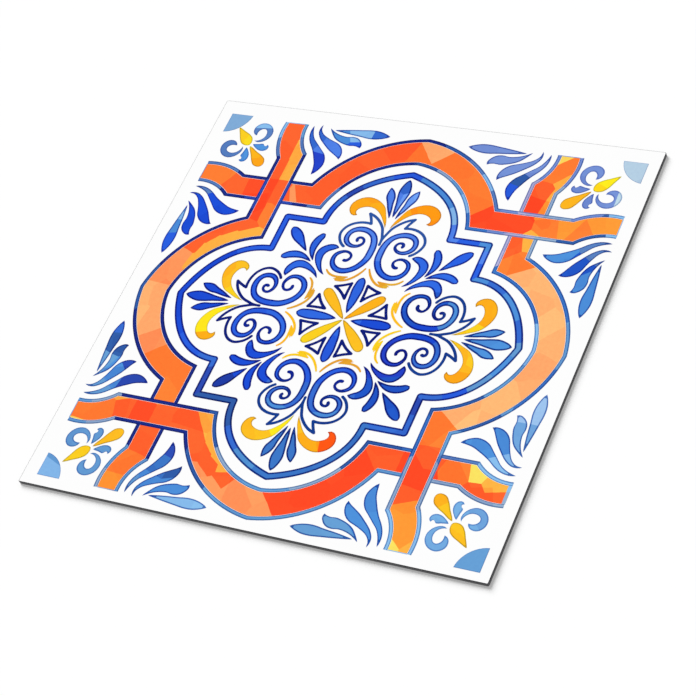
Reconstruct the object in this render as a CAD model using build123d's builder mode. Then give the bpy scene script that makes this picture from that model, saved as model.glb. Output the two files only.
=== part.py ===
"""Peel and stick tile: one square die-cut from printed, adhesive-backed vinyl sheet.

Millimetres. The origin is the centre of the adhesive back, +Z points out of the
printed face, and X and Y run along the cut edges.
"""

import os

from build123d import *

# The 6 inch trade size of the square, along each cut edge
tile_side = 152.4
# Vinyl sheet with its adhesive coat
sheet_thickness = 1.2
# Left at each corner of the square by the cutting die
corner_radius = 0.5
# Rolled over by the die all round the printed face
face_edge_radius = 0.2

# The blank is cut square, with its back on the XY plane
with BuildPart() as tile:
    with BuildSketch(Plane.XY) as blank:
        RectangleRounded(tile_side, tile_side, corner_radius)
    extrude(amount=sheet_thickness)

    # The die presses into the face first, so only the face's rim is round
    printed_face = faces().sort_by(Axis.Z)[-1]
    fillet(printed_face.edges(), radius=face_edge_radius)

tile.part.label = "tile"
os.makedirs("parts", exist_ok=True)
export_step(tile.part, "parts/tile.step")
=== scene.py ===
import math

import bmesh
import bpy
from mathutils import Matrix, Quaternion, Vector
from mathutils.geometry import interpolate_bezier


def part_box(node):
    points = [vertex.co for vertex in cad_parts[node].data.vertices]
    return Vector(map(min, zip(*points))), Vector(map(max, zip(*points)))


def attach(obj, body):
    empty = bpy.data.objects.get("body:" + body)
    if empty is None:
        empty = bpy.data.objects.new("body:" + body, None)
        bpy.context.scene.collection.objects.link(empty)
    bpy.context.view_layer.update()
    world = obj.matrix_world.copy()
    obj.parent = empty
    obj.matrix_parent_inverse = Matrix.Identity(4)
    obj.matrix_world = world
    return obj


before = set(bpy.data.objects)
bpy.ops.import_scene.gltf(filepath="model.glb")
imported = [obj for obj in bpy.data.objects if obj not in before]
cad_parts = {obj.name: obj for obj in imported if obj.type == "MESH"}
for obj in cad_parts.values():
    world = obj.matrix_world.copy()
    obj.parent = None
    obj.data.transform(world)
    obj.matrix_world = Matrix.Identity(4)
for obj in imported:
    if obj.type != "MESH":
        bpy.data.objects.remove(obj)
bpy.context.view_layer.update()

# The tile
# One square die-cut from white vinyl sheet. Its face is a satin laminate, a greyer core shows along the cut
# edges, with painted shade that darkens it towards the face, and its back carries a coat of adhesive. The
# frame's own node is its shape.
MILLIMETRE = 0.001
face_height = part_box("tile")[1].z
laminate_depth = 0.0002 * MILLIMETRE
rim_depth = 0.0015 * MILLIMETRE
edge_shade = 0.15 * MILLIMETRE
edge_foot = 1.0 * MILLIMETRE
back_depth = 0.02 * MILLIMETRE
cloud_scale = 60.0
emboss_scale = 2600.0
emboss_depth = 0.01 * MILLIMETRE


def paint(red, green, blue):
    """A colour as it shows on the sheet, from 0 to 255, as the shader takes it."""
    linear = [((c / 255 + 0.055) / 1.055) ** 2.4 if c > 10 else c / 255 / 12.92 for c in (red, green, blue)]
    return (*linear, 1.0)


def put(finish, kind, sockets, **options):
    """A new shader node with its options set and each socket given a value or a wire."""
    tree = finish.node_tree
    new = tree.nodes.new("ShaderNode" + kind)
    for option, value in options.items():
        setattr(new, option, value)
    for socket, value in sockets.items():
        if isinstance(value, bpy.types.NodeSocket):
            tree.links.new(value, new.inputs[socket])
        else:
            new.inputs[socket].default_value = value
    return new


def blended(finish, amount, first, second, mode="MIX"):
    """The colour between two colours, by an amount from 0 to 1."""
    return put(finish, "Mix", {0: amount, 6: first, 7: second}, data_type="RGBA", blend_type=mode).outputs[2]


def satin(name, roughness, gloss):
    """A new finish with a plain satin shader, and that shader."""
    finish = bpy.data.materials.new(name)
    finish.use_nodes = True
    shader = finish.node_tree.nodes["Principled BSDF"]
    shader.inputs["Roughness"].default_value = roughness
    shader.inputs["Specular IOR Level"].default_value = gloss
    return finish, shader


vinyl, vinyl_shader = satin("vinyl", roughness=0.5, gloss=0.2)
vinyl_place = put(vinyl, "TexCoord", {}).outputs["Object"]
vinyl_height = put(vinyl, "SeparateXYZ", {0: vinyl_place}).outputs["Z"]
on_face = put(vinyl, "MapRange", {
    "Value": vinyl_height,
    "From Min": face_height - rim_depth,
    "From Max": face_height - laminate_depth,
}).outputs[0]
# Painted shade: runs from 0 at edge_foot to 1 at edge_shade below the face, to darken the cut edge towards
# its top
painted_shade_ramp = put(vinyl, "MapRange", {
    "Value": vinyl_height,
    "From Min": face_height - edge_foot,
    "From Max": face_height - edge_shade,
}).outputs[0]
on_back = put(vinyl, "Math", {0: vinyl_height, 1: back_depth}, operation="LESS_THAN").outputs[0]
clouds = put(vinyl, "TexNoise", {"Vector": vinyl_place, "Scale": cloud_scale, "Detail": 3.0}).outputs["Fac"]
laminate = blended(vinyl, clouds, paint(252, 252, 252), paint(254, 254, 254))
# The cut edge's grey is partly the core's own colour and partly painted shade: it darkens from 132 at the
# foot to 84 near the face, which also paints a thin grey line along the rounded top rim
cut_edge_core_and_shade = blended(vinyl, painted_shade_ramp, paint(132, 132, 134), paint(84, 84, 87))
sheet_colour = blended(vinyl, on_face, cut_edge_core_and_shade, laminate)
sheet_colour = blended(vinyl, on_back, sheet_colour, paint(226, 224, 212))
vinyl.node_tree.links.new(sheet_colour, vinyl_shader.inputs["Base Color"])
emboss = put(vinyl, "TexNoise", {"Vector": vinyl_place, "Scale": emboss_scale, "Detail": 2.0}).outputs["Fac"]
embossed = put(vinyl, "Bump", {"Height": emboss, "Strength": 0.12, "Distance": emboss_depth})
vinyl.node_tree.links.new(embossed.outputs[0], vinyl_shader.inputs["Normal"])
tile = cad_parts["tile"]
tile.data.materials.clear()
tile.data.materials.append(vinyl)

# The strapwork
# Four printed straps, each with a pointed lobe, that pass under one neighbour and over the other. They are
# laid as thin films of red-orange wash between two brushed blue lines, and stop at the print's margin.
film_thickness = 0.012 * MILLIMETRE
print_middle = Vector((0.37, -1.24, 0.0)) * MILLIMETRE
quarter_turn = math.pi / 2
corner_names = ("Far Left", "Near Left", "Near Right", "Far Right")
# From here on, the print's own sizes are millimetres from its middle
print_reach = 71.4
strap_upper = 48.35
strap_lower = 38.75
line_width = 1.24
line_outer_rim = 0.38
line_inner_rim = 0.24
paper_gap = 0.1
end_line_width = 0.25
stop_width = 1.0
# The circles that a strap's edges follow: centre x, centre y and radius
upper_curl = (-68.31, 29.74, 22.11)
lower_curl = (-70.24, 28.15, 15.03)
upper_lobe = (4.58, 31.37, 40.35)
lower_lobe = (2.56, 33.06, 27.69)
curl_runs = 14
lobe_runs = 24
same_place = 0.0001


def arc(circle, start, end, runs):
    """Points along a circle (centre x, centre y, radius) between two of its points."""
    x, y, radius = circle
    first = math.atan2(start[1] - y, start[0] - x)
    last = math.atan2(end[1] - y, end[0] - x)
    angles = [first + (last - first) * run / runs for run in range(runs + 1)]
    return [Vector((x + radius * math.cos(a), y + radius * math.sin(a))) for a in angles]


def strap_edge(level, curl, lobe):
    """One edge of a strap as two runs: the stub outside the crossing, and the rise to the lobe's tip."""
    curl_x, curl_y, curl_radius = curl
    lobe_x, lobe_y, lobe_radius = lobe
    margin = (-print_reach, curl_y + math.sqrt(curl_radius ** 2 - (print_reach + curl_x) ** 2))
    kink = (curl_x + math.sqrt(curl_radius ** 2 - (level - curl_y) ** 2), level)
    foot = (lobe_x - math.sqrt(lobe_radius ** 2 - (level - lobe_y) ** 2), level)
    tip = (0.0, lobe_y + math.sqrt(lobe_radius ** 2 - lobe_x ** 2))
    stub = arc(curl, margin, kink, curl_runs) + [Vector((-strap_upper, level))]
    rise = [Vector((-strap_lower, level))] + arc(lobe, foot, tip, lobe_runs)
    return stub, rise


def mirrored(points):
    """The points on the other side of the Y axis, in the opposite order."""
    return [Vector((-point.x, point.y)) for point in reversed(points)]


def shifted(points, distance):
    """An open path moved to its left by a distance, with its corners mitred."""
    runs = [(after - before).normalized() for before, after in zip(points, points[1:])]
    moved = []
    for point, before, after in zip(points, [runs[0]] + runs, runs + [runs[-1]]):
        normal = Vector((-before.y - after.y, before.x + after.x)).normalized()
        square = Vector((-after.y, after.x))
        moved.append(point + normal * (distance / normal.dot(square)))
    return moved


def new_drawing():
    """An empty flat drawing. Its faces say whether they belong to a shape's darker rim."""
    drawing = bmesh.new()
    drawing.faces.layers.float.new("rim")
    return drawing


def fill(drawing, rungs, layer, rim):
    """Adds the flat shape between pairs of points, in millimetres, on one of the ink's layers."""
    height = face_height + layer * film_thickness
    rim_layer = drawing.faces.layers.float["rim"]

    def corner(point, others):
        for other_point, vertex in others:
            if (other_point - point).length < same_place:
                return vertex
        return drawing.verts.new((point.x * MILLIMETRE, point.y * MILLIMETRE, height))

    def rung(left, right, before):
        left_corner = corner(left, before)
        right_corner = corner(right, before + [(left, left_corner)])
        return [(left, left_corner), (right, right_corner)]

    last = []
    for left, right in rungs:
        current = rung(left, right, last)
        if last:
            ring = [last[0][1], current[0][1], current[1][1], last[1][1]]
            ring = [vertex for i, vertex in enumerate(ring) if vertex not in ring[:i]]
            if len(ring) > 2:
                face = drawing.faces.new(ring)
                face[rim_layer] = rim
                face.normal_update()
                if face.normal.z < 0:
                    face.normal_flip()
        last = current


def film_nodes():
    """The node tree that lays a flat drawing as a closed film and repeats it round the tile's centre."""
    tree = bpy.data.node_groups.new("ink_film", "GeometryNodeTree")

    def add(kind, sockets, **options):
        new = tree.nodes.new(kind)
        for option, value in options.items():
            setattr(new, option, value)
        for socket, value in sockets.items():
            for wire in value if isinstance(value, list) else [value]:
                if isinstance(wire, bpy.types.NodeSocket):
                    tree.links.new(wire, new.inputs[socket])
                else:
                    new.inputs[socket].default_value = wire
        return new.outputs[0] if new.outputs else new

    for name, kind in (
        ("Drawing", "Geometry"),
        ("Film Thickness", "Float"),
        ("Print Middle", "Vector"),
        ("Turns", "Int"),
        ("Mirror", "Bool"),
        ("Ink", "Material"),
        *((corner + " Shift", "Vector") for corner in corner_names),
    ):
        tree.interface.new_socket(name, in_out="INPUT", socket_type="NodeSocket" + kind)
    tree.interface.new_socket("Print", in_out="OUTPUT", socket_type="NodeSocketGeometry")
    given = tree.nodes.new("NodeGroupInput").outputs
    raised = add("GeometryNodeExtrudeMesh", {
        "Mesh": given["Drawing"],
        "Offset": (0.0, 0.0, 1.0),
        "Offset Scale": given["Film Thickness"],
        "Individual": False,
    })
    underside = add("GeometryNodeFlipFaces", {"Mesh": given["Drawing"]})
    closed = add("GeometryNodeJoinGeometry", {"Geometry": [raised, underside]})
    closed = add("GeometryNodeMergeByDistance", {"Geometry": closed, "Distance": 0.001 * MILLIMETRE})
    reflection = add("GeometryNodeTransform", {"Geometry": closed, "Scale": (-1.0, 1.0, 1.0)})
    reflection = add("GeometryNodeFlipFaces", {"Mesh": reflection})
    pair = add("GeometryNodeJoinGeometry", {"Geometry": [closed, reflection]})
    motif = add(
        "GeometryNodeSwitch",
        {"Switch": given["Mirror"], "False": closed, "True": pair},
        input_type="GEOMETRY",
    )
    turn_number = add("GeometryNodeInputIndex", {})
    shift = tree.nodes.new("GeometryNodeIndexSwitch")
    shift.data_type = "VECTOR"
    tree.links.new(turn_number, shift.inputs["Index"])
    for number, corner in enumerate(corner_names):
        if number == len(shift.index_switch_items):
            shift.index_switch_items.new()
        tree.links.new(given[corner + " Shift"], shift.inputs[str(number)])
    centres = add("GeometryNodePoints", {"Count": given["Turns"], "Position": shift.outputs[0]})
    angle = add("ShaderNodeMath", {0: turn_number, 1: quarter_turn}, operation="MULTIPLY")
    turn = add("FunctionNodeEulerToRotation", {0: add("ShaderNodeCombineXYZ", {"Z": angle})})
    ring = add("GeometryNodeInstanceOnPoints", {"Points": centres, "Instance": motif, "Rotation": turn})
    plain = add("GeometryNodeRealizeInstances", {"Geometry": ring})
    placed = add("GeometryNodeTransform", {"Geometry": plain, "Translation": given["Print Middle"]})
    inked = add("GeometryNodeSetMaterial", {"Geometry": placed, "Material": given["Ink"]})
    add("NodeGroupOutput", {"Print": inked})
    return tree


ink_film = film_nodes()


def printed(name, drawing, ink, turns=4, mirror=True, shifts=()):
    """Lays a drawing on the tile's face, at each quarter turn and mirrored, as one piece of ink."""
    flat = bpy.data.meshes.new(name + "_drawing")
    drawing.to_mesh(flat)
    drawing.free()
    piece = bpy.data.objects.new(name, flat)
    bpy.context.scene.collection.objects.link(piece)
    film = piece.modifiers.new("film", "NODES")
    film.node_group = ink_film
    settings = {
        "Film Thickness": film_thickness,
        "Print Middle": print_middle,
        "Turns": turns,
        "Mirror": mirror,
        "Ink": ink,
    }
    for corner, shift in zip(corner_names, shifts):
        settings[corner + " Shift"] = Vector((*shift, 0.0)) * MILLIMETRE
    for socket in ink_film.interface.items_tree:
        if socket.name in settings:
            film[socket.identifier] = settings[socket.name]
    bpy.context.view_layer.update()
    evaluated = piece.evaluated_get(bpy.context.evaluated_depsgraph_get())
    mesh = bpy.data.meshes.new_from_object(evaluated)
    piece.modifiers.remove(film)
    piece.data = mesh
    bpy.data.meshes.remove(flat)
    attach(piece, "root")


wander_scale = 180.0
wander_reach = 0.6 * MILLIMETRE
facet_scale = 95.0
facet_depth = 0.12
pigment_scale = 900.0
pigment_depth = 0.08


def watercolour(name, washes, rim_shade, swing):
    """A printed ink in flat washes: each spot takes the wash whose middle, in millimetres, is nearest.
    The swing says how far the red, green and blue of a wash follow its lighter and darker facets."""
    finish, shader = satin(name, roughness=0.5, gloss=0.15)
    place = put(finish, "TexCoord", {}).outputs["Object"]
    wander = put(finish, "TexNoise", {"Vector": place, "Scale": wander_scale, "Detail": 2.0}).outputs["Color"]
    wander = put(finish, "VectorMath", {0: wander, 1: (0.5, 0.5, 0.5)}, operation="SUBTRACT").outputs[0]
    wander = put(finish, "VectorMath", {0: wander, "Scale": wander_reach}, operation="SCALE").outputs[0]
    spot = put(finish, "VectorMath", {0: place, 1: wander}, operation="ADD").outputs[0]
    spot = put(finish, "VectorMath", {0: spot, 1: (1.0, 1.0, 0.0)}, operation="MULTIPLY").outputs[0]
    colour = washes[0][2]
    nearest = 1.0
    for x, y, tone in washes:
        middle = Vector((x, y, 0.0)) * MILLIMETRE + print_middle
        away = put(finish, "VectorMath", {0: spot, 1: middle}, operation="DISTANCE").outputs["Value"]
        closer = put(finish, "Math", {0: away, 1: nearest}, operation="LESS_THAN").outputs[0]
        colour = blended(finish, closer, colour, tone)
        nearest = put(finish, "Math", {0: away, 1: nearest}, operation="MINIMUM").outputs[0]
    facets = put(finish, "TexVoronoi", {"Vector": spot, "Scale": facet_scale}, voronoi_dimensions="2D")
    facet = put(finish, "SeparateColor", {0: facets.outputs["Color"]}).outputs[0]
    pigment = put(finish, "TexNoise", {"Vector": place, "Scale": pigment_scale, "Detail": 4.0}).outputs["Fac"]
    depth = put(finish, "MapRange", {
        "Value": facet,
        "To Min": -facet_depth,
        "To Max": facet_depth,
    }).outputs[0]
    grain = put(finish, "MapRange", {
        "Value": pigment,
        "To Min": -pigment_depth,
        "To Max": pigment_depth,
    }).outputs[0]
    strength = put(finish, "Math", {0: depth, 1: grain}, operation="ADD").outputs[0]
    tint = put(finish, "VectorMath", {0: swing, "Scale": strength}, operation="SCALE").outputs[0]
    tint = put(finish, "VectorMath", {0: tint, 1: (1.0, 1.0, 1.0)}, operation="ADD").outputs[0]
    colour = blended(finish, 1.0, colour, tint, mode="MULTIPLY")
    rim = put(finish, "Attribute", {}, attribute_name="rim").outputs["Fac"]
    colour = blended(finish, rim, colour, rim_shade, mode="MULTIPLY")
    finish.node_tree.links.new(colour, shader.inputs["Base Color"])
    return finish


vermilion = paint(254, 74, 34)
red_orange = paint(254, 96, 42)
orange = paint(254, 124, 48)
marigold = paint(254, 148, 50)
apricot = paint(254, 172, 64)
salmon = paint(254, 150, 90)
peach = paint(254, 180, 114)
straw = paint(251, 216, 92)
pooled_orange = (1.0, 0.36, 0.4, 1.0)
warm_swing = (0.0, 1.3, 1.3)
strap_washes = [
    (-66, 47.5, orange), (-57, 42.3, red_orange), (-50.5, 42.5, vermilion), (-37.9, 41.4, red_orange),
    (-36.1, 42.2, salmon), (-34.2, 43.2, red_orange), (-24, 54, red_orange), (-6.6, 66.2, red_orange),
    (-0.4, 64.1, orange), (3, 66.8, peach), (9.2, 60.3, orange), (18, 60, orange), (25, 49, orange),
    (29, 44.2, vermilion), (40, 43.5, vermilion), (49.8, 43.5, orange), (56, 45, marigold),
    (60, 43, orange), (66, 47, marigold),
    (45.7, 70.7, straw), (47.7, 68.3, orange), (45.5, 64, orange), (49.4, 60.2, apricot),
    (44.2, 56.5, red_orange), (48.2, 55.5, apricot), (43, 51.5, vermilion), (47.4, 50.7, marigold),
    (42, 36, red_orange), (46.3, 37.2, apricot), (46.4, 30.2, orange), (50, 24, peach), (60, 14, peach),
    (65.5, 0, peach),
    (60, -14, peach), (51.1, -23.4, peach), (43.3, -33.8, orange), (43.5, -40, red_orange),
    (43.5, -48.6, vermilion), (43, -53.4, red_orange), (45, -58.1, marigold), (47, -67, marigold),
    (44.2, -70.5, straw), (51, -70.5, apricot),
    (66.3, -44.9, apricot), (60.7, -42.3, straw), (55.5, -43.5, orange), (61, -49, red_orange),
    (67.5, -50, red_orange), (40, -43.5, vermilion), (33.5, -43.5, red_orange), (26, -50, vermilion),
    (17, -60, vermilion), (6.6, -62.9, vermilion), (1.4, -67.7, salmon), (-8.6, -63, salmon),
    (-15.4, -64, salmon), (-22.4, -60.4, salmon), (-12.6, -60.2, red_orange), (-13.6, -55.9, apricot),
    (-19.4, -56.6, red_orange), (-17.2, -53.3, apricot), (-23, -52.8, red_orange), (-20.8, -50.4, apricot),
    (-26.6, -48.6, red_orange), (-24, -46.6, apricot), (-29.8, -44.4, red_orange), (-27.2, -42.4, apricot),
    (-41, -43.5, red_orange), (-49, -43.5, vermilion), (-55.4, -43.5, red_orange), (-61.5, -45, orange),
    (-57.5, -37.9, apricot), (-69.5, -48.3, orange), (-69.8, -51.6, straw),
    (-44, -53.5, red_orange), (-46, -61.2, orange), (-47, -70, marigold),
    (-43.5, -36, orange), (-52.5, -24.5, orange), (-57.5, -18.5, salmon), (-61.5, -12.5, peach),
    (-64.5, -2, peach), (-64, 6.5, salmon), (-62.5, 13.4, salmon), (-58, 12.6, apricot),
    (-60.5, 18.3, red_orange), (-56.3, 16.7, apricot), (-57.2, 23, red_orange), (-53.8, 20, apricot),
    (-52.1, 26.7, red_orange), (-49.9, 22.9, apricot), (-46.6, 29.2, red_orange), (-44.6, 25.2, apricot),
    (-45.4, 33.5, vermilion), (-42, 33.5, orange), (-45.4, 43.5, vermilion), (-42, 43.5, red_orange),
    (-45.4, 52.5, red_orange), (-42, 52.5, apricot), (-45.6, 60.5, red_orange), (-42.2, 60.5, apricot),
    (-46.8, 68.5, red_orange),
]
strap_ink = watercolour("strap_ink", strap_washes, pooled_orange, warm_swing)

upper_stub, upper_rise = strap_edge(strap_upper, upper_curl, upper_lobe)
lower_stub, lower_rise = strap_edge(strap_lower, lower_curl, lower_lobe)
upper_run = upper_rise + mirrored(upper_stub + upper_rise[:-1])
lower_run = lower_rise + mirrored(lower_stub + lower_rise[:-1])
strap_wash = new_drawing()
strap_lines = new_drawing()
wash_inset = line_width + paper_gap
for upper, lower in ((upper_stub, lower_stub), (upper_run, lower_run)):
    fill(strap_wash, zip(shifted(upper, -wash_inset), shifted(lower, wash_inset)), layer=0, rim=0.0)
    for edge, inward in ((upper, -1), (lower, 1)):
        fill(strap_lines, zip(edge, shifted(edge, inward * line_width)), layer=0, rim=1.0)
        outer_side = shifted(edge, inward * line_outer_rim)
        inner_side = shifted(edge, inward * (line_width - line_inner_rim))
        fill(strap_lines, zip(outer_side, inner_side), layer=1, rim=0.0)
end_top = upper_stub[0].y - line_width
end_bottom = lower_stub[0].y + line_width


def end_line(width, side):
    """Rungs of the thin line that closes a strap's end at the print's left or right margin."""
    outer, inner = side * print_reach, side * (print_reach - width)
    return [(Vector((outer, y)), Vector((inner, y))) for y in (end_top, end_bottom)]


for side in (-1, 1):
    fill(strap_lines, end_line(end_line_width, side), layer=1, rim=0.0)
printed("strap_wash", strap_wash, strap_ink, mirror=False)

navy = paint(22, 42, 136)
indigo = paint(42, 74, 178)
denim = paint(46, 92, 168)
royal = paint(38, 92, 222)
lapis = paint(56, 114, 196)
cobalt = paint(52, 106, 208)
slate = paint(84, 124, 190)
azure = paint(74, 140, 216)
cerulean = paint(78, 142, 208)
steel = paint(98, 154, 210)
sky = paint(132, 184, 234)
periwinkle = paint(112, 140, 210)
haze = paint(142, 170, 206)
lavender = paint(174, 172, 216)
strap_line_washes = [
    (-66, 51, slate), (-67, 42, slate), (-52, 49, navy), (-58, 39, navy), (-34, 44, navy), (-24, 42, slate),
    (-22, 54, navy), (0, 66, navy), (13, 68, denim), (4, 60.5, denim), (10, 58, haze), (16, 54, steel),
    (21, 49, sky), (20, 62.5, slate), (25, 58, sky), (30, 51, slate), (26, 42, lapis), (36, 44, periwinkle),
    (43, 48.6, lavender), (43, 38.6, lavender), (51, 48.6, haze), (51, 38.6, haze), (57, 38.6, denim),
    (60, 50, periwinkle), (65, 46, denim), (70, 47, sky), (-51, -68, haze), (-44, -67, steel),
    (-50, -61, steel), (-44, -51, navy), (-44, -35, navy), (-50, -25, navy), (-61, -12, navy),
    (-70, 0, denim), (-61, 4, navy), (-61, 18, navy), (-47, 28, navy), (-48, 43, indigo), (-39.4, 41, indigo),
    (-44, 53, navy), (-46, 63, slate), (-51, 70, sky), (-44, 70, steel), (67, -50, haze), (67, -43, sky),
    (51, -48.6, haze), (51, -39, slate), (34, -49, steel), (31, -40, denim), (24, -44, denim),
    (16, -54, haze), (22, -60, steel), (2, -66, steel), (-12, -63, steel), (-16, -53.5, haze),
    (-21, -60, denim), (-22, -47, denim), (-34, -46, navy), (-52, -44, navy), (-62, -46, haze),
    (-70, -48, steel),
    (51, 67, periwinkle), (42, 67, periwinkle), (39.4, 55, lavender), (48.6, 52, haze), (48.6, 36, haze),
    (39.4, 35, lavender), (47, 27, lapis), (60, 18, lapis), (61, 1, sky), (71, 2, steel), (58, -11, steel),
    (67, -11, lapis), (48, -25, denim), (48.6, -36, steel), (39.4, -36, lapis), (44, -44, haze),
    (44, -51, haze), (46, -65, sky),
]
strap_rim = (0.34, 0.45, 0.6, 1.0)
cool_swing = (1.0, 1.0, 0.5)
strap_line_ink = watercolour("strap_line_ink", strap_line_washes, strap_rim, cool_swing)
printed("strap_lines", strap_lines, strap_line_ink, mirror=False)

strap_stop = new_drawing()
far_end = end_line(stop_width, 1)
near_end = [(Vector((left.x, -left.y)), Vector((right.x, -right.y))) for left, right in far_end]
fill(strap_stop, near_end, layer=2, rim=0.0)
printed("strap_stop", strap_stop, strap_line_ink, turns=1, mirror=False)

# The quatrefoil line
# One brushed blue line inside the straps, pointed over each lobe and stepped square at each corner. It is
# printed as one even stroke with round outer corners and a darker rim.
quatrefoil_width = 2.42
rim_width = 0.56
sharp_bend = math.radians(15)
bend_runs = 6
lobe_points = 30
step_corner = 34.32
lobe_foot = 21.5
lobe_rise = 11.5
lobe_tip = 56.64
lobe_tip_reach = 12.4
lobe_tip_slope = math.radians(15.6)


def cap(point, ahead, half):
    """Rungs across the round end of a stroke, from its full width to its tip."""
    side = Vector((-ahead.y, ahead.x)) * half
    turns = [math.radians(angle) for angle in (30, 55, 75, 90)]
    middles = [point + ahead * (half * math.sin(turn)) for turn in turns]
    halves = [side * math.cos(turn) for turn in turns]
    return [(middle + out, middle - out) for middle, out in zip(middles, halves)]


def stroke(path, width, ends="flat"):
    """Rungs across an even stroke with flat, round or joined ends, round on the outside of each corner."""
    half = width / 2
    leaving = [(after - before).normalized() for before, after in zip(path, path[1:] + path[:1])]
    if ends != "joined":
        leaving[-1] = leaving[-2]
    arriving = [leaving[-1] if ends == "joined" else leaving[0]] + leaving[:-1]
    bends = [before.angle_signed(after) for before, after in zip(arriving, leaving)]
    corners = [(point, bend) for point, bend in zip(path, bends) if abs(bend) > sharp_bend]

    def crowded(point):
        return any((point - corner).length < half * math.tan(abs(bend) / 2) for corner, bend in corners)

    rungs = []
    for point, before, after, bend in zip(path, arriving, leaving, bends):
        normal = Vector((-before.y - after.y, before.x + after.x)).normalized()
        if abs(bend) <= sharp_bend:
            if not crowded(point):
                rungs.append((point + normal * half, point - normal * half))
            continue
        left_turn = bend < 0
        inner_side = 1 if left_turn else -1
        inner = point + normal * (inner_side * half / math.cos(bend / 2))
        for run in range(bend_runs + 1):
            turned = normal.copy()
            turned.rotate(Matrix.Rotation(-bend * (run / bend_runs - 0.5), 2))
            outer = point - turned * (inner_side * half)
            rungs.append((inner, outer) if left_turn else (outer, inner))
    if ends == "joined":
        rungs.append(rungs[0])
    if ends == "round":
        start = [(right, left) for left, right in reversed(cap(path[0], -leaving[0], half))]
        rungs = start + rungs + cap(path[-1], leaving[-1], half)
    return rungs


lobe_summit = Vector((0.0, lobe_tip))
lobe_half = interpolate_bezier(
    Vector((-lobe_foot, step_corner)),
    Vector((-lobe_foot, step_corner + lobe_rise)),
    lobe_summit - lobe_tip_reach * Vector((math.cos(lobe_tip_slope), math.sin(lobe_tip_slope))),
    lobe_summit,
    lobe_points,
)
lobe_path = lobe_half + mirrored(lobe_half[:-1])
step_middle = (step_corner + lobe_foot) / 2
quatrefoil_path = [Vector((-step_corner, step_middle)), Vector((-step_corner, step_corner))]
quatrefoil_path += lobe_path + [Vector((step_middle, step_corner))]
quatrefoil = new_drawing()
fill(quatrefoil, stroke(quatrefoil_path, quatrefoil_width), layer=0, rim=1.0)
fill(quatrefoil, stroke(quatrefoil_path, quatrefoil_width - 2 * rim_width), layer=1, rim=0.0)
blue_rim = (0.06, 0.13, 0.36, 1.0)
bluebell = paint(78, 128, 232)
persian = paint(22, 74, 212)
quatrefoil_washes = [
    (-34.3, 27, royal), (-27, 34.3, royal), (-21.5, 38, royal), (-19.5, 44, cobalt), (-17.5, 47, indigo),
    (-11, 52, cobalt), (0, 56.5, royal), (7, 54.5, azure), (15, 49, azure), (19.5, 43, sky),
    (21.4, 37, bluebell), (28, 34.3, royal), (34.4, 33.8, azure), (34.3, 30, bluebell), (34.3, 24.5, royal),
    (37.2, 21.4, azure), (41, 20.5, cobalt), (49, 14, azure), (55.4, 4, cobalt), (57, 0, steel),
    (54, -6, azure), (49, -14, steel), (44, -18.5, royal), (37, -21.4, cobalt), (34.3, -25, indigo),
    (34.3, -31, cobalt), (27, -34.3, cobalt), (21.4, -38, lapis), (13, -51, lapis), (-1, -56.5, lapis),
    (-10, -53, cerulean), (-17, -46.5, cobalt), (-21, -39, denim), (-28, -34.3, denim), (-34.3, -28, indigo),
    (-37, -21.4, cobalt), (-43, -19, royal), (-54, -8, persian), (-54, 8, persian),
]
quatrefoil_ink = watercolour("quatrefoil_ink", quatrefoil_washes, blue_rim, cool_swing)
printed("quatrefoil_line", quatrefoil, quatrefoil_ink, mirror=False)

# The heart of the tile
# A rosette of four blue and four gold petals with eight outlined triangles, and a pair of blue scrolls with a
# palmette, two gold curls and a thin contour on each axis. They are printed as brush marks.
leaf_runs = 28
brush_step = 0.3
ink_spread = 0.1
least_wash = 0.1
round_end_shares = (0.05, 0.2, 0.45, 0.8)


def smooth(points, step=brush_step):
    """A smooth curve through the points, in short runs. A third number, such as a width, is carried along."""
    places = [Vector(point) for point in points]
    gaps = [(after - before).length for before, after in zip(places, places[1:])]
    slopes = [(after - before) / gap for before, after, gap in zip(places, places[1:], gaps)]
    bends = [
        (before * gap_after + after * gap_before) / (gap_before + gap_after)
        for before, after, gap_before, gap_after in zip(slopes, slopes[1:], gaps, gaps[1:])
    ]
    tangents = [2 * slopes[0] - bends[0]] + bends + [2 * slopes[-1] - bends[-1]] if bends else slopes * 2
    curve = [places[0]]
    for i, gap in enumerate(gaps):
        leaving = places[i] + tangents[i] * (gap / 3)
        arriving = places[i + 1] - tangents[i + 1] * (gap / 3)
        runs = max(3, math.ceil(gap / step))
        curve += interpolate_bezier(places[i], leaving, arriving, places[i + 1], runs + 1)[1:]
    return curve


def along(curve, fractions):
    """Points of a curve at fractions of its length, in rising order."""
    reach = [0.0]
    for before, after in zip(curve, curve[1:]):
        reach.append(reach[-1] + (after - before).length)
    points = []
    run = 0
    for fraction in fractions:
        distance = fraction * reach[-1]
        while run < len(curve) - 2 and reach[run + 1] < distance:
            run += 1
        part = (distance - reach[run]) / (reach[run + 1] - reach[run])
        points.append(curve[run].lerp(curve[run + 1], min(1.0, part)))
    return points


def leaf(base, tip, one_side, other_side):
    """Rungs across a leaf whose two sides run through the given points from its base to its tip."""
    fractions = [run / leaf_runs for run in range(leaf_runs + 1)]
    sides = [along(smooth([base, *side, tip]), fractions) for side in (one_side, other_side)]
    return list(zip(*sides))


def petal(base, tip, half_widths):
    """Rungs across a straight petal. Each half width is given at its share of the petal's length."""
    line = Vector(tip) - Vector(base)
    out = Vector((-line.y, line.x)).normalized()
    one_side = [Vector(base) + line * share + out * half for share, half in half_widths]
    other_side = [Vector(base) + line * share - out * half for share, half in half_widths]
    return leaf(base, tip, one_side, other_side)


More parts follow.
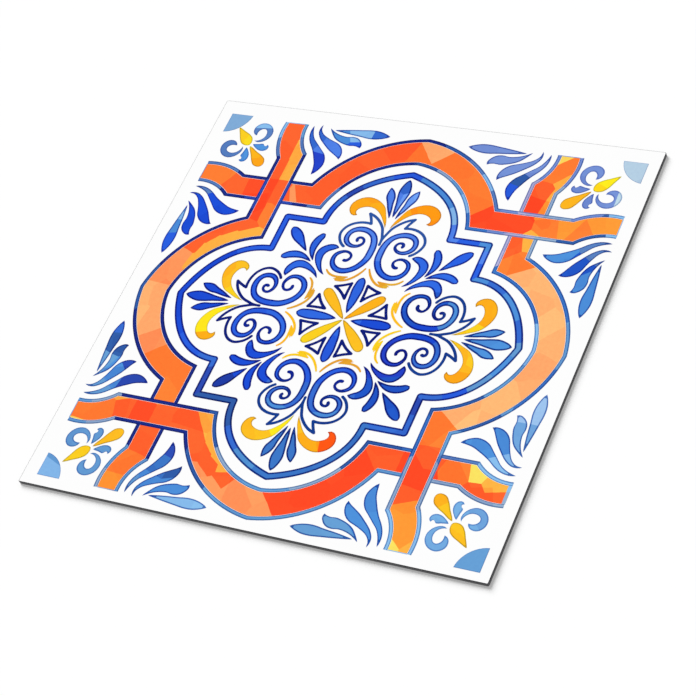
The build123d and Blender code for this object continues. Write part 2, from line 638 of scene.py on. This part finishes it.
def brush(points):
    """Rungs across a brush stroke with round ends. Its points hold x, y and the stroke's width there."""
    curve = smooth(points)
    length = sum((after - before).length for before, after in zip(curve, curve[1:]))
    count = math.ceil(length / brush_step)
    fractions = {run / count for run in range(count + 1)}
    for share in round_end_shares:
        fractions |= {share * points[0][2] / 2 / length, 1 - share * points[-1][2] / 2 / length}
    fractions = sorted(fractions)
    spine = along(curve, fractions)
    rungs = []
    for i, (fraction, point) in enumerate(zip(fractions, spine)):
        ahead = (spine[min(i + 1, len(spine) - 1)] - spine[max(i - 1, 0)]).to_2d().normalized()
        half = point.z / 2
        end = min(1.0, min(fraction, 1 - fraction) * length / half)
        normal = Vector((-ahead.y, ahead.x)) * half * math.sqrt(1 - (1 - end) ** 2)
        rungs.append((point.to_2d() + normal, point.to_2d() - normal))
    return rungs


def narrowed(left, right, distance):
    """A rung with both its ends drawn in by a distance, or let out by a negative one."""
    step = (right - left).normalized() * distance
    return left + step, right - step


def inset(rungs, rim):
    """The rungs of a shape drawn in by a rim, in the runs where there is room left."""
    middles = [(left + right) / 2 for left, right in rungs]
    runs = [[]]
    for (left, right), middle in zip(rungs, middles):
        at_end = min((middle - middles[0]).length, (middle - middles[-1]).length) < rim
        if (right - left).length > 2 * rim + least_wash and not at_end:
            runs[-1].append(narrowed(left, right, rim))
        elif runs[-1]:
            runs.append([])
    return runs


def shape(drawing, rungs, rim=rim_width):
    """Draws a shape with its darker rim, which spreads past the drawn edge, and its wash."""
    fill(drawing, [narrowed(*rung, -ink_spread) for rung in rungs], layer=0, rim=1.0)
    for run in inset(rungs, rim - ink_spread):
        fill(drawing, run, layer=1, rim=0.0)


axis_petals = new_drawing()
shape(axis_petals, petal((0.0, 2.4), (0.0, 15.95), [
    (0.12, 0.7), (0.27, 1.25), (0.49, 1.6), (0.64, 1.77), (0.79, 1.62), (0.9, 1.32), (0.96, 0.8),
]))
shape(axis_petals, petal((0.0, 39.5), (0.0, 54.65), [
    (0.1, 0.42), (0.35, 1.02), (0.55, 1.64), (0.69, 1.88), (0.82, 1.52), (0.93, 0.85),
]))
scrolls = new_drawing()
shape(scrolls, leaf(
    (-1.05, 38.95), (-4.95, 50.8),
    [(-1.85, 40.5), (-2.72, 42.0), (-4.15, 45.0), (-5.15, 47.0), (-5.32, 48.2), (-5.2, 49.5)],
    [(-1.12, 40.5), (-1.32, 42.0), (-1.92, 45.0), (-2.17, 47.2), (-3.0, 49.0), (-3.85, 50.0)],
))
shape(scrolls, brush([
    (-7.3, 28.75, 0.8), (-7.85, 29.6, 0.95), (-7.5, 30.25, 0.85), (-6.6, 30.4, 0.72), (-5.6, 29.7, 0.72),
    (-5.4, 28.5, 0.8), (-6.4, 27.3, 1.0), (-8.0, 26.82, 1.15), (-10.2, 27.5, 1.45), (-11.35, 28.9, 1.65),
    (-11.55, 30.5, 1.7), (-10.9, 32.2, 1.75), (-9.3, 33.3, 1.85), (-7.4, 33.58, 1.95), (-5.1, 33.05, 1.9),
    (-3.4, 31.9, 1.95), (-2.25, 30.0, 2.1), (-1.75, 28.0, 2.2), (-1.64, 25.5, 2.28), (-1.88, 23.0, 2.2),
    (-2.7, 21.0, 2.1), (-4.1, 19.1, 2.0), (-5.8, 17.85, 1.95), (-8.2, 17.2, 1.9), (-10.4, 17.75, 1.8),
    (-12.0, 19.25, 1.6), (-12.6, 21.2, 1.42), (-12.2, 23.0, 1.3), (-11.0, 24.05, 1.1), (-9.6, 24.5, 0.85),
    (-8.2, 24.2, 0.75), (-7.2, 23.1, 0.7), (-7.35, 22.0, 0.85), (-8.2, 21.2, 1.0), (-9.4, 21.35, 0.75),
]))
ultramarine = paint(34, 66, 202)
midnight = paint(26, 56, 160)
hyacinth = paint(106, 156, 244)
cornflower = paint(46, 104, 226)
sapphire = paint(30, 86, 200)
heart_washes = [
    (-3, 47, bluebell), (3, 47, hyacinth), (0, 52, cobalt), (-5, 29, bluebell), (5, 29, bluebell),
    (-7, 17.5, cornflower), (7, 17.5, cornflower), (0, 0, cornflower), (0, -12, royal), (12, 0, persian),
    (46, 0, azure), (35, 6, azure), (38, -6, azure), (32, -8, cobalt), (24, 7, sapphire), (26, -2, persian),
    (20, -10, ultramarine), (0, -49, lapis), (-6, -29, cobalt), (6, -29, cobalt), (-8, -36, azure),
    (8, -36, azure), (-7, -19, royal), (7, -19, royal), (-48, 0, persian), (-17, 0, cornflower),
    (-31, 8, royal), (-31, -8, royal), (-22, 22, cornflower), (-28.5, 28.5, royal), (22, 22, cornflower),
    (28.5, 28.5, royal), (24, -24, sapphire), (-23, -23, persian), (-28.5, -28.5, midnight),
]
heart_ink = watercolour("heart_ink", heart_washes, blue_rim, cool_swing)
printed("axis_petals", axis_petals, heart_ink, mirror=False)
printed("scrolls", scrolls, heart_ink)

contours = new_drawing()
contour_width = 0.94
contour_navy = paint(2, 24, 118)
contour_denim = paint(12, 58, 140)
contour_slate = paint(38, 82, 160)
contour_washes = [
    (0, 0, contour_navy), (-40, 0, contour_navy), (0, 40, contour_slate), (0, -40, contour_denim),
    (40, 0, contour_denim),
]
contour_ink = watercolour("contour_ink", contour_washes, blue_rim, cool_swing)
contour_stem = smooth([
    (0.0, 28.75), (-0.1, 31.0), (-0.75, 33.0), (-1.55, 35.0), (-3.0, 36.9), (-5.0, 38.6), (-7.7, 39.85),
])
contour_barb = smooth([(-7.7, 39.85), (-6.7, 38.1), (-5.8, 36.05)])
contour_back = smooth([
    (-5.8, 36.05), (-8.0, 36.2), (-10.0, 35.85), (-12.0, 34.9), (-13.65, 33.1), (-14.25, 31.0),
    (-13.68, 28.95), (-12.4, 27.17), (-11.2, 26.27),
])
contour_path = contour_stem + contour_barb[1:] + contour_back[1:]
contour = stroke(contour_path, contour_width, ends="round")
left_of_axis = [[Vector((min(side.x, 0.0), side.y)) for side in rung] for rung in contour]
fill(contours, left_of_axis, layer=0, rim=0.0)
triangle_sides = [
    [(-7.58, 11.37), (-5.0, 12.17), (-2.7, 13.25)],
    [(-2.7, 13.25), (-2.87, 10.3), (-2.8, 7.4)],
    [(-2.8, 7.4), (-4.83, 9.52), (-7.58, 11.37)],
]
triangle_path = []
for side in triangle_sides:
    triangle_path += smooth(side)[:-1]
fill(contours, stroke(triangle_path, contour_width, ends="joined"), layer=0, rim=0.0)
printed("contours", contours, contour_ink)

gold_rim_width = 0.34
gold_petals = new_drawing()
shape(gold_petals, petal((-0.12, 0.12), (-10.05, 10.05), [
    (0.1, 0.5), (0.25, 0.91), (0.38, 1.3), (0.5, 1.51), (0.61, 1.63), (0.82, 1.63), (0.91, 1.42),
    (0.97, 0.85),
]), gold_rim_width)
gold_curls = new_drawing()
shape(gold_curls, leaf(
    (-0.8, 35.1), (-11.85, 38.7),
    [(-1.5, 38.0), (-2.4, 40.0), (-3.95, 43.0), (-6.0, 44.66), (-8.0, 45.58), (-10.0, 45.94), (-12.0, 45.6),
     (-14.0, 44.4), (-15.2, 42.6), (-15.25, 40.8), (-14.5, 39.27), (-13.1, 38.33)],
    [(-1.2, 35.9), (-2.25, 37.4), (-3.9, 39.57), (-6.0, 41.4), (-8.0, 42.25), (-9.6, 42.3), (-11.3, 41.75),
     (-12.4, 40.9), (-12.75, 39.9), (-12.4, 39.1)],
), gold_rim_width)
bracket_lens = leaf((-9.6, 14.0), (-5.0, 15.2), [(-7.05, 14.9)], [(-6.65, 13.98)])
fill(gold_curls, bracket_lens, layer=0, rim=0.0)
bracket_upper = [
    (-13.05, 17.05, 0.5), (-11.5, 15.55, 0.75), (-9.7, 14.95, 0.75), (-7.5, 14.9, 0.8), (-5.0, 15.3, 0.45),
]
bracket_lower = [
    (-0.55, 19.5, 0.5), (-1.7, 17.35, 0.75), (-3.2, 15.55, 0.8), (-5.0, 14.22, 0.8), (-6.8, 13.65, 0.8),
    (-8.9, 13.6, 0.45),
]
for bracket in (bracket_upper, bracket_lower):
    fill(gold_curls, brush(bracket), layer=1, rim=0.0)
lemon = paint(255, 226, 24)
yellow = paint(251, 208, 28)
gold = paint(253, 190, 30)
amber = paint(253, 170, 20)
saffron = paint(254, 146, 10)
tangerine = paint(254, 94, 16)
ochre = paint(230, 170, 44)
gold_washes = [
    (-11, 43, amber), (11, 43, saffron), (-3, 37, amber), (3, 37, amber), (43, 11, amber), (40, 1, yellow),
    (43, -5, gold), (42, -17, amber), (14, -41, tangerine), (7, -43, amber), (3, -37, gold), (-4, -38, lemon),
    (-10, -44, gold), (-41, -18, amber), (-44, -7, lemon), (-43, 10, gold), (-37, 3, yellow),
    (-7, 15.5, ochre), (7, 15.5, ochre), (15.5, 7, gold), (15.5, -7, yellow), (7, -15.5, ochre),
    (-7, -15.5, yellow), (-15.5, -7, gold), (-15.5, 7, ochre), (-6, 6, gold), (6, 6, amber), (6, -6, gold),
    (-6, -6, yellow),
]
gold_rim = (0.56, 0.62, 0.5, 1.0)
gold_ink = watercolour("gold_ink", gold_washes, gold_rim, warm_swing)
printed("gold_petals", gold_petals, gold_ink, mirror=False)
printed("gold_curls", gold_curls, gold_ink)

# The corner sprays and fans
# On each diagonal a spray of five blue leaves, and beside each strap's end a fan of four. They are single
# brush marks, printed in blue washes that turn lighter towards the tile's right side.
sprays = new_drawing()
spindle_base = 22.4
spindle_tip = 30.75
shape(sprays, leaf(
    (-18.85, 19.35), (-18.9, 29.85),
    [(-20.5, 21.05), (-21.63, 23.05), (-22.05, 25.0), (-21.8, 27.0), (-20.8, 29.0), (-19.7, 29.95)],
    [(-19.25, 21.0), (-19.6, 23.0), (-19.5, 25.0), (-19.1, 27.0), (-18.6, 28.65)],
))
shape(sprays, leaf(
    (-13.1, 14.75), (-12.35, 25.45),
    [(-15.2, 15.85), (-17.05, 17.85), (-18.3, 19.9), (-18.87, 22.0), (-18.43, 24.1), (-16.97, 25.6),
     (-14.6, 26.45), (-13.2, 26.2)],
    [(-14.4, 16.35), (-15.5, 18.45), (-16.07, 20.5), (-16.0, 22.4), (-15.15, 23.65), (-13.75, 24.5)],
))
printed("sprays", sprays, heart_ink)
spray_spindles = new_drawing()
shape(spray_spindles, petal((-spindle_base, spindle_base), (-spindle_tip, spindle_tip), [
    (0.12, 0.45), (0.35, 1.1), (0.56, 1.68), (0.68, 1.78), (0.84, 1.47), (0.95, 0.85),
]))
printed("spray_spindles", spray_spindles, heart_ink, mirror=False)

fan_rim_width = 0.42
fans = new_drawing()
shape(fans, leaf(
    (-33.2, 70.43), (-13.55, 70.4),
    [(-28.0, 71.22), (-24.0, 71.71), (-20.0, 72.12), (-18.0, 72.02), (-16.0, 71.53)],
    [(-28.0, 69.59), (-24.0, 69.15), (-20.0, 68.67), (-18.0, 68.81), (-16.0, 69.29)],
), fan_rim_width)
shape(fans, leaf(
    (-34.95, 70.95), (-21.95, 64.5),
    [(-33.0, 69.65), (-30.0, 68.54), (-28.0, 68.29), (-26.0, 68.57), (-24.0, 68.17), (-22.5, 66.9),
     (-21.85, 65.6)],
    [(-33.4, 68.8), (-32.0, 67.25), (-30.0, 66.05), (-28.0, 65.37), (-26.0, 64.96), (-24.0, 65.11)],
), fan_rim_width)
shape(fans, leaf(
    (-38.1, 71.95), (-27.2, 59.05),
    [(-37.9, 70.0), (-37.0, 68.7), (-34.0, 66.81), (-32.0, 65.98), (-30.0, 65.21), (-28.0, 63.47),
     (-27.0, 60.9)],
    [(-38.55, 70.0), (-38.3, 68.6), (-37.5, 67.2), (-34.0, 63.8), (-32.0, 62.22), (-30.0, 60.98),
     (-28.0, 59.73)],
), fan_rim_width)
shape(fans, leaf(
    (-41.05, 71.15), (-33.88, 51.7),
    [(-40.5, 69.0), (-38.95, 66.1), (-36.95, 64.15), (-34.8, 62.15), (-32.75, 60.15), (-31.75, 58.1),
     (-31.5, 56.0), (-32.1, 54.0)],
    [(-41.33, 69.0), (-40.65, 66.0), (-39.5, 64.0), (-37.95, 62.0), (-36.65, 59.95), (-35.6, 57.95),
     (-34.65, 55.95), (-34.15, 53.95)],
), fan_rim_width)
sky_steel = paint(114, 170, 224)
pale_sky = paint(162, 202, 242)
fan_washes = [
    (-39, 67, cobalt), (-31, 68, azure), (-32, 63.5, bluebell), (-22.5, 62.5, royal), (-33, 57, ultramarine),
    (-24, 71, sky), (-15, 70, cobalt), (-67, 41, slate), (-64.5, 36, persian), (-58, 33, persian),
    (-69, 34.5, persian), (-67.5, 30.5, persian), (-66, 25, persian), (-71.5, 29, sky), (-71.5, 25.5, azure),
    (-70, 18, royal), (25, 70, periwinkle), (31, 66, periwinkle), (38, 64.5, periwinkle), (35, 59.5, denim),
    (34, 56, royal), (58, 34, azure), (62, 31.5, sapphire), (67, 39, slate), (68, 24, azure),
    (70, -18, pale_sky), (70, -30, sky_steel), (62, -32, azure), (66, -40, sky), (33, -60, azure),
    (24, -70, steel), (-24, -71.5, sky), (-26, -65.5, azure), (-37, -66, azure), (-40.5, -67, steel),
    (-35, -60, lapis), (-33, -53, indigo), (-28, -60, denim), (-57, -33.5, indigo), (-60, -28, indigo),
    (-64.5, -32, azure), (-69, -38, steel), (-71, -29, steel), (-69, -22, denim), (-70, -14, cobalt),
]
fan_rim = (0.2, 0.3, 0.55, 1.0)
fan_ink = watercolour("fan_ink", fan_washes, fan_rim, cool_swing)
printed("fans", fans, fan_ink)

# The corner fleurs and quarters
# In each corner a fleur of two gold petals between blue curls and small hooked leaves, and a quarter disc
# that closes the print. They are printed in the same thin inks, mirrored about the tile's diagonal.
quarter_corner = 72.05
quarter_side = 7.85
quarter_bulge = 1.2
quarter_line = 0.16
quarter_runs = 12
fleur_shifts = [(-0.1, 0.1), (1.0, 1.1), (-0.75, 0.95), (-1.4, -0.5)]
quarter_shifts = [(0.0, 0.1), (0.35, 0.65), (0.35, -0.1), (-0.1, 0.2)]


def over_diagonal(rungs):
    """The rungs mirrored about the diagonal of the far left corner."""
    return [(Vector((-left.y, -left.x)), Vector((-right.y, -right.x))) for left, right in rungs]


fleur_curl = leaf(
    (-59.3, 64.3), (-59.2, 62.1),
    [(-60.6, 65.15), (-61.15, 66.7), (-60.85, 68.05), (-59.85, 69.1), (-58.4, 69.6), (-56.9, 69.4),
     (-55.35, 68.45), (-54.3, 66.8), (-54.15, 65.0), (-54.9, 63.3), (-56.4, 62.05), (-58.0, 61.7)],
    [(-59.45, 65.35), (-59.25, 66.25), (-58.7, 67.0), (-57.8, 67.4), (-56.8, 67.05), (-56.2, 66.15),
     (-56.0, 65.0), (-56.2, 63.95), (-56.95, 62.9), (-58.2, 62.2)],
)
fleur_leaf = leaf(
    (-58.95, 60.55), (-53.7, 61.05),
    [(-57.0, 60.85), (-55.2, 61.1), (-54.6, 60.5), (-54.1, 60.4)],
    [(-57.6, 59.4), (-56.0, 58.55), (-54.6, 58.45), (-53.4, 59.1), (-53.1, 60.2)],
)
fleurs = new_drawing()
for part in (fleur_curl, fleur_leaf):
    shape(fleurs, part, fan_rim_width)
    shape(fleurs, over_diagonal(part), fan_rim_width)
mist = paint(128, 172, 216)
pale_mist = paint(182, 208, 228)
fleur_washes = [
    (-70, 70, mist), (-57.5, 70.5, sky), (-57, 65, slate), (-66, 58, slate), (-56, 57, azure),
    (61.4, 60, periwinkle), (70, 70, pale_mist), (72, 60, pale_mist), (58, -60, sky_steel), (70, -70, steel),
    (-58, -58, steel), (-68.3, -64.5, steel), (-69.4, -67.4, sky),
]
fleur_rim = (0.56, 0.6, 0.76, 1.0)
fleur_ink = watercolour("fleur_ink", fleur_washes, fleur_rim, cool_swing)
printed("fleurs", fleurs, fleur_ink, mirror=False, shifts=fleur_shifts)


def quarter(line):
    """Rungs from the corner of a quarter disc to its flattened round edge, all drawn in by a line's width."""
    corner = Vector((-quarter_corner + line, quarter_corner - line))
    middle = Vector((-quarter_corner - quarter_bulge, quarter_corner + quarter_bulge))
    radius = math.hypot(quarter_side + quarter_bulge, quarter_bulge) - line
    first = math.asin((quarter_bulge + line) / radius)
    span = quarter_turn - 2 * first
    turns = [first + span * run / quarter_runs for run in range(quarter_runs + 1)]
    return [(corner, middle + radius * Vector((math.cos(turn), -math.sin(turn)))) for turn in turns]


quarters = new_drawing()
fill(quarters, quarter(0.0), layer=0, rim=1.0)
fill(quarters, quarter(quarter_line), layer=1, rim=0.0)
printed("quarters", quarters, fleur_ink, mirror=False, shifts=quarter_shifts)

gold_fleurs = new_drawing()
fleur_petal = petal((-60.1, 60.1), (-66.75, 66.75), [
    (0.03, 0.6), (0.1, 1.28), (0.24, 1.87), (0.43, 1.77), (0.67, 1.05), (0.88, 0.42),
])
fleur_drop = petal((-59.65, 59.65), (-52.3, 52.3), [
    (0.1, 0.4), (0.35, 1.0), (0.6, 1.75), (0.8, 1.95), (0.92, 1.35), (0.98, 0.7),
])
shape(gold_fleurs, fleur_petal, gold_rim_width)
shape(gold_fleurs, fleur_drop, gold_rim_width)
gold_corner_washes = [
    (-63, 63, yellow), (-55, 55, amber), (63, 63, lemon), (55, 55, gold),
    (63, -63, gold), (55, -55, gold), (-63, -63, yellow), (-55, -55, gold),
]
gold_corner_ink = watercolour("gold_corner_ink", gold_corner_washes, gold_rim, warm_swing)
printed("gold_fleurs", gold_fleurs, gold_corner_ink, mirror=False, shifts=fleur_shifts)

# The studio
# A plain white floor that shows white to the camera and keeps the tile's shadow, a broad soft key from the
# far left, an even fill from the sky, and the camera at the photograph's angle.
floor_half = 3.0
floor_tone = 0.76
floor_glow = 0.23
sky_strength = 0.3
floor_mesh = bpy.data.meshes.new("floor")
floor_mesh.from_pydata(
    [
        (-floor_half, -floor_half, 0),
        (floor_half, -floor_half, 0),
        (floor_half, floor_half, 0),
        (-floor_half, floor_half, 0),
    ],
    [],
    [(0, 1, 2, 3)],
)
floor = bpy.data.objects.new("floor", floor_mesh)
bpy.context.scene.collection.objects.link(floor)
backdrop, backdrop_shader = satin("backdrop", roughness=1.0, gloss=0.0)
backdrop_shader.inputs["Base Color"].default_value = (floor_tone, floor_tone, floor_tone, 1.0)
backdrop_shader.inputs["Emission Color"].default_value = (1.0, 1.0, 1.0, 1.0)
rays = put(backdrop, "LightPath", {}).outputs
seen = rays["Is Camera Ray"]
for other_ray in (rays["Is Glossy Ray"], rays["Is Transmission Ray"]):
    seen = put(backdrop, "Math", {0: seen, 1: other_ray}, operation="MAXIMUM").outputs[0]
glow = put(backdrop, "Math", {0: seen, 1: floor_glow}, operation="MULTIPLY").outputs[0]
backdrop.node_tree.links.new(glow, backdrop_shader.inputs["Emission Strength"])
floor_mesh.materials.append(backdrop)

key_lamp = bpy.data.lights.new("key", "SUN")
key_lamp.energy = 4.3
key_lamp.angle = math.radians(34)
key = bpy.data.objects.new("key", key_lamp)
key_from = Vector((-1.15, 1.0, 0.94))
key.rotation_euler = key_from.to_track_quat("Z", "Y").to_euler()
key.visible_glossy = False
bpy.context.scene.collection.objects.link(key)

sky_light = bpy.data.worlds.new("studio")
sky_light.use_nodes = True
sky_light.node_tree.nodes["Background"].inputs["Color"].default_value = (1.0, 1.0, 1.0, 1.0)
sky_light.node_tree.nodes["Background"].inputs["Strength"].default_value = sky_strength
bpy.context.scene.world = sky_light

camera_data = bpy.data.cameras.new("camera")
camera_data.lens = 113.47
camera_data.sensor_width = 36.0
camera = bpy.data.objects.new("camera", camera_data)
camera_place = Vector((0.29298, -0.31831, 0.48498 + face_height))
camera_aim = Vector((0.00613, -0.01079, face_height))
camera_roll = math.radians(-25.39)
camera_turn = (camera_place - camera_aim).to_track_quat("Z", "Y") @ Quaternion((0.0, 0.0, 1.0), camera_roll)
camera.location = camera_place
camera.rotation_euler = camera_turn.to_euler()
bpy.context.scene.collection.objects.link(camera)
bpy.context.scene.camera = camera
bpy.context.scene.view_settings.view_transform = "Standard"
